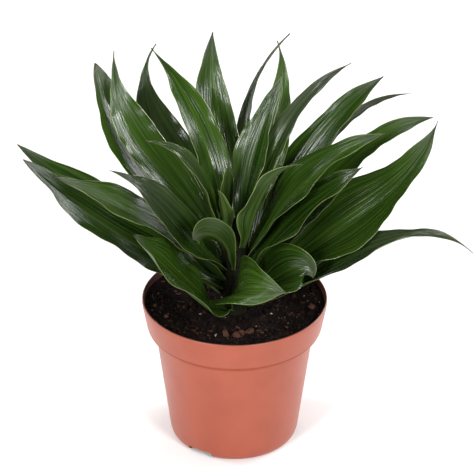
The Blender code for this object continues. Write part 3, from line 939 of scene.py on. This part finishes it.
def make_cane():
    """The cane with its pointed growing tip and a shallow groove at each old leaf scar."""
    profile = [
        (0, CANE_TIP_Z),
        (1.5, CANE_TIP_Z - 1.5),
        (0.5 * CANE_RADIUS, 0.5 * (CANE_TIP_Z + CANE_SHOULDER_Z)),
        (0.85 * CANE_RADIUS, CANE_SHOULDER_Z + 1.5),
        (CANE_RADIUS, CANE_SHOULDER_Z),
    ]
    for scar in range(1, int((CANE_SHOULDER_Z - SOIL_TOP) / SCAR_SPACING)):
        height = CANE_SHOULDER_Z - scar * SCAR_SPACING
        profile += [
            (CANE_RADIUS, height + SCAR_HALF_HEIGHT),
            (CANE_RADIUS - SCAR_DEPTH, height),
            (CANE_RADIUS, height - SCAR_HALF_HEIGHT),
        ]
    profile += [(CANE_RADIUS, CANE_FOOT_Z + 1), (CANE_RADIUS - 1, CANE_FOOT_Z), (0, CANE_FOOT_Z)]
    vertices, faces = turned(rounded(profile, CANE_CORNER, steps=3), CANE_STEPS)
    cane = new_piece("cane_stem", vertices, faces, cane_material())
    stand_for(cane, "cane")


# Material helpers

def new_material(name):
    made = bpy.data.materials.new(name)
    made.use_nodes = True
    return made, made.node_tree, made.node_tree.nodes["Principled BSDF"]


def add(tree, kind, inputs=None, **settings):
    """A shader node with its settings and its inputs, each a number, a colour or another node's output."""
    made = tree.nodes.new("ShaderNode" + kind)
    for key, value in settings.items():
        setattr(made, key, value)
    for key, value in (inputs or {}).items():
        socket = made.inputs[key]
        if isinstance(value, bpy.types.NodeSocket):
            tree.links.new(value, socket)
        else:
            socket.default_value = value
    return made


def attribute(tree, name, output="Fac"):
    return add(tree, "Attribute", attribute_name=name).outputs[output]


def math_node(tree, operation, a, b=0.0, c=0.0):
    return add(tree, "Math", {0: a, 1: b, 2: c}, operation=operation).outputs[0]


def plus(tree, a, b):
    return math_node(tree, "ADD", a, b)


def times(tree, a, b):
    return math_node(tree, "MULTIPLY", a, b)


def ramp(tree, value, low, high, to_low=0.0, to_high=1.0):
    """The value brought smoothly from low..high to to_low..to_high."""
    inputs = {"Value": value, "From Min": low, "From Max": high, "To Min": to_low, "To Max": to_high}
    return add(tree, "MapRange", inputs, interpolation_type="SMOOTHSTEP").outputs["Result"]


def mix(tree, factor, a, b):
    """Colour a, or b where the factor is 1."""
    colours = {0: factor}
    for key, value in ((6, a), (7, b)):
        colours[key] = value if isinstance(value, bpy.types.NodeSocket) else (*value, 1)
    return add(tree, "Mix", colours, data_type="RGBA").outputs[2]


def stretched(tree, vector, scale):
    return add(tree, "VectorMath", {0: vector, 1: scale}, operation="MULTIPLY").outputs[0]


def noise_node(tree, vector, scale, detail=3.0, roughness=0.5):
    inputs = {"Vector": vector, "Scale": scale, "Detail": detail, "Roughness": roughness}
    return add(tree, "TexNoise", inputs).outputs["Fac"]


def millimetres(tree):
    """The surface's own place in millimetres."""
    place = add(tree, "TexCoord").outputs["Object"]
    return stretched(tree, place, (1000, 1000, 1000))


def bump(tree, shader, height, strength, distance):
    made = add(tree, "Bump", {"Height": height, "Strength": strength, "Distance": distance * MM})
    tree.links.new(made.outputs["Normal"], shader.inputs["Normal"])


# Materials

def leaf_material():
    """Glossy dark green blade: streaked along its veins, pale at margins and midrib, dry at the tip, and
    paler and duller underneath. Painted grey sheen lies towards every tip, partly real drying, and over the
    outer part of some leaves, and painted shade lies on the undersides towards the base."""
    made, tree, shader = new_material("leaf_blade")
    vein = attribute(tree, "vein", "Vector")
    across = add(tree, "SeparateXYZ", {0: vein}).outputs["X"]
    along = attribute(tree, "along")
    under = attribute(tree, "under")
    fine = noise_node(tree, stretched(tree, vein, FINE_STREAKS), 1, 4, 0.6)
    coarse = noise_node(tree, stretched(tree, vein, COARSE_STREAKS), 1, 2)
    mottle = noise_node(tree, stretched(tree, vein, MOTTLE), 1, 3)
    streaks = plus(tree, times(tree, fine, 0.5), times(tree, coarse, 0.5))
    streaked = ramp(tree, streaks, 0.35, 0.65)

    lightness = plus(tree, streaked, times(tree, mottle, 0.5))
    lightness = plus(tree, lightness, times(tree, attribute(tree, "tint"), 0.8))
    colour = mix(tree, ramp(tree, lightness, -0.2, 1.9), LEAF_DARK, LEAF_PALE)
    colour = mix(tree, ramp(tree, along, 0.12, 0.0, 0.0, 0.3), colour, LEAF_BASE)
    underside = mix(tree, streaked, UNDERSIDE_DARK, UNDERSIDE_PALE)
    # Towards the base the underside keeps less of its own colour: painted shade deep in the rosette
    colour = mix(tree, times(tree, under, ramp(tree, along, 0.15, 0.7, 0.3, 0.8)), colour, underside)

    near_midrib = ramp(tree, math_node(tree, "ABSOLUTE", across), 0.9, 0.1)
    colour = mix(tree, times(tree, near_midrib, ramp(tree, along, 0.95, 0.2, 0.05, 0.5)), colour, LEAF_MIDRIB)
    from_margin = plus(tree, attribute(tree, "margin"), times(tree, coarse, 0.4))
    colour = mix(tree, times(tree, ramp(tree, from_margin, 0.75, 0.35), 0.75), colour, LEAF_MARGIN)

    # Grey towards every tip, partly real drying and partly painted sheen, and painted grey sheen on the outer
    # part of some leaves
    tip_dry_and_sheen = ramp(tree, plus(tree, along, times(tree, coarse, 0.12)), 0.88, 1.04, 0, 0.5)
    colour = mix(tree, math_node(tree, "MAXIMUM", tip_dry_and_sheen, attribute(tree, "grey")), colour, LEAF_SHEEN_GREY)
    tip = ramp(tree, plus(tree, along, times(tree, mottle, 0.03)), 0.985, 1.005)
    colour = mix(tree, tip, colour, LEAF_DRY)
    tree.links.new(colour, shader.inputs["Base Color"])

    roughness = plus(tree, ramp(tree, fine, 0.35, 0.65, 0.13, 0.26), times(tree, under, 0.2))
    tree.links.new(roughness, shader.inputs["Roughness"])
    tree.links.new(plus(tree, times(tree, under, -0.3), 0.55), shader.inputs["Specular IOR Level"])
    ribs = math_node(tree, "SINE", plus(tree, times(tree, across, 3.9), times(tree, coarse, 9)))
    bump(tree, shader, plus(tree, streaks, times(tree, ribs, 0.10)), 0.7, 0.5)
    return made


def inside_stain_and_shade(tree, place, height):
    """How much the inner side of the pot's band, above the step, is darkened: painted shade inside the rim,
    partly a soil stain.
    """
    level_place = stretched(tree, place, (1, 1, 0))
    radius = add(tree, "VectorMath", {0: level_place}, operation="LENGTH").outputs["Value"]
    radius_at_zero = BAND_FOOT_RADIUS - BAND_FOOT_Z * BAND_SLOPE
    band_line = math_node(tree, "MULTIPLY_ADD", height, BAND_SLOPE, radius_at_zero)
    inside = ramp(tree, math_node(tree, "SUBTRACT", radius, band_line), -0.4, -0.9)
    return times(tree, inside, ramp(tree, height, BAND_FOOT_Z + 1.5, BAND_FOOT_Z + 3.5, 0, 0.85))


def under_band(tree, height):
    """1 on the step under the pot's band, and 0 above and below it."""
    below_band = ramp(tree, height, BAND_FOOT_Z + 0.4, BAND_FOOT_Z - 0.3)
    return times(tree, below_band, ramp(tree, height, BAND_FOOT_Z - 4.0, BAND_FOOT_Z - 3.0))


def pot_material():
    """Moulded terracotta-coloured plastic, mottled and satin, with a painted highlight on the lip and a paler
    foot, painted shade and less shine on the step, and painted shade, partly a soil stain, inside the band.
    """
    made, tree, shader = new_material("moulded_plastic")
    place = millimetres(tree)
    height = add(tree, "SeparateXYZ", {0: place}).outputs["Z"]
    clouds = noise_node(tree, place, 0.05, 3)
    grain = noise_node(tree, place, 1.8, 4, 0.6)
    step = under_band(tree, height)

    colour = mix(tree, ramp(tree, clouds, 0.3, 0.7), PLASTIC_DARK, PLASTIC_PALE)
    # The lip is paler as a painted highlight, and the foot is paler too
    lip = ramp(tree, plus(tree, height, times(tree, grain, 1.2)), POT_HEIGHT - 0.6, POT_HEIGHT + 0.8, 0, 0.35)
    foot = ramp(tree, plus(tree, height, times(tree, grain, 2.5)), 3.0, 0.8, 0, 0.3)
    colour = mix(tree, math_node(tree, "MAXIMUM", lip, foot), colour, PLASTIC_LIP_HIGHLIGHT_AND_FOOT)
    # Painted shade, partly a soil stain, on the inner side of the band
    colour = mix(tree, inside_stain_and_shade(tree, place, height), colour, PLASTIC_STAIN_AND_SHADE)
    # Painted shade on the step under the band
    colour = mix(tree, times(tree, step, 0.3), colour, PLASTIC_STEP_SHADE)
    tree.links.new(colour, shader.inputs["Base Color"])

    tree.links.new(ramp(tree, step, 0, 1, 0.5, 0.05), shader.inputs["Specular IOR Level"])
    tree.links.new(ramp(tree, grain, 0.3, 0.7, 0.34, 0.46), shader.inputs["Roughness"])
    shader.inputs["Sheen Weight"].default_value = 0.05
    shader.inputs["Sheen Roughness"].default_value = 0.4
    bump(tree, shader, grain, 0.12, 0.12)
    return made


def soil_material():
    """Dark peat whose crumbs, bark, fibres and specks each take their colour from their shade."""
    made, tree, shader = new_material("peat")
    place = millimetres(tree)
    shade = attribute(tree, "shade")
    grain = noise_node(tree, place, 1.1, 5, 0.65)
    clods = noise_node(tree, place, 0.22, 3)
    peat = mix(tree, ramp(tree, grain, 0.35, 0.75), PEAT_DARK, PEAT_PALE)
    peat = mix(tree, ramp(tree, clods, 0.45, 0.7, 0, 0.5), peat, PEAT_CLOD)
    bark = mix(tree, ramp(tree, grain, 0.3, 0.7), BARK_DARK, BARK_PALE)
    speck = mix(tree, grain, SPECK_DARK, SPECK_PALE)
    colour = mix(tree, ramp(tree, shade, 0.30, 0.62), peat, bark)
    colour = mix(tree, ramp(tree, shade, 0.74, 0.86), colour, speck)
    tree.links.new(colour, shader.inputs["Base Color"])
    shader.inputs["Roughness"].default_value = 0.9
    shader.inputs["Specular IOR Level"].default_value = 0.15
    bump(tree, shader, grain, 1.0, 0.9)
    return made


def cane_material():
    """The cane's skin: a dull green brown with fine upright cracks, made very dark as painted shade in the
    heart of the rosette.
    """
    made, tree, shader = new_material("cane_bark")
    cracks = noise_node(tree, stretched(tree, millimetres(tree), (1.4, 1.4, 0.15)), 1, 4)
    colour = mix(tree, ramp(tree, cracks, 0.3, 0.7), CANE_SHADED_DARK, CANE_SHADED_PALE)
    tree.links.new(colour, shader.inputs["Base Color"])
    shader.inputs["Roughness"].default_value = 0.8
    shader.inputs["Specular IOR Level"].default_value = 0.1
    bump(tree, shader, cracks, 0.5, 0.4)
    return made


def floor_material():
    made, tree, shader = new_material("studio_floor")
    shader.inputs["Base Color"].default_value = (*FLOOR_COLOUR, 1)
    shader.inputs["Roughness"].default_value = 0.9
    shader.inputs["Specular IOR Level"].default_value = 0.1
    return made


# Studio

def make_camera():
    elevation = math.radians(CAMERA_ELEVATION)
    roll = math.radians(CAMERA_ROLL)
    forward = Vector((0, math.cos(elevation), -math.sin(elevation)))
    level = Vector((1, 0, 0))
    upright = Vector((0, math.sin(elevation), math.cos(elevation)))
    right = level * math.cos(roll) + upright * math.sin(roll)
    up = upright * math.cos(roll) - level * math.sin(roll)
    eye = Vector(CAMERA_TARGET) - forward * CAMERA_DISTANCE
    data = bpy.data.cameras.new("camera")
    data.sensor_width = SENSOR
    data.lens = SENSOR * FOCAL_PIXELS / IMAGE_SIZE
    data.clip_end = CLIP_END
    camera = bpy.data.objects.new("camera", data)
    bpy.context.scene.collection.objects.link(camera)
    camera.matrix_world = Matrix((
        (right.x, up.x, -forward.x, eye.x),
        (right.y, up.y, -forward.y, eye.y),
        (right.z, up.z, -forward.z, eye.z),
        (0, 0, 0, 1),
    ))
    bpy.context.scene.camera = camera


def softbox(name, azimuth, climb, size, power):
    """A rectangular light that faces the plant."""
    place = Vector(LIT_POINT) + Vector(direction(azimuth, climb)) * LIGHT_DISTANCE
    data = bpy.data.lights.new(name, "AREA")
    data.shape = "RECTANGLE"
    data.size, data.size_y = size
    data.energy = power
    light = bpy.data.objects.new(name, data)
    bpy.context.scene.collection.objects.link(light)
    light.location = place
    light.rotation_euler = (Vector(LIT_POINT) - place).to_track_quat("-Z", "Y").to_euler()


def make_studio():
    scene = bpy.context.scene
    scene.view_settings.view_transform = "Standard"
    world = bpy.data.worlds.new("white_surround")
    world.use_nodes = True
    background = world.node_tree.nodes["Background"]
    background.inputs["Color"].default_value = (1, 1, 1, 1)
    background.inputs["Strength"].default_value = SURROUND_STRENGTH
    world.cycles_visibility.glossy = False
    scene.world = world
    for row in SOFTBOXES:
        softbox(*row)
    bpy.ops.mesh.primitive_plane_add(size=FLOOR_SIZE, location=(0, 0, 0))
    floor = bpy.context.object
    floor.name = "studio_floor"
    floor.data.materials.append(floor_material())


make_camera()
make_pot()
make_soil()
make_cane()
make_leaves()
make_studio()
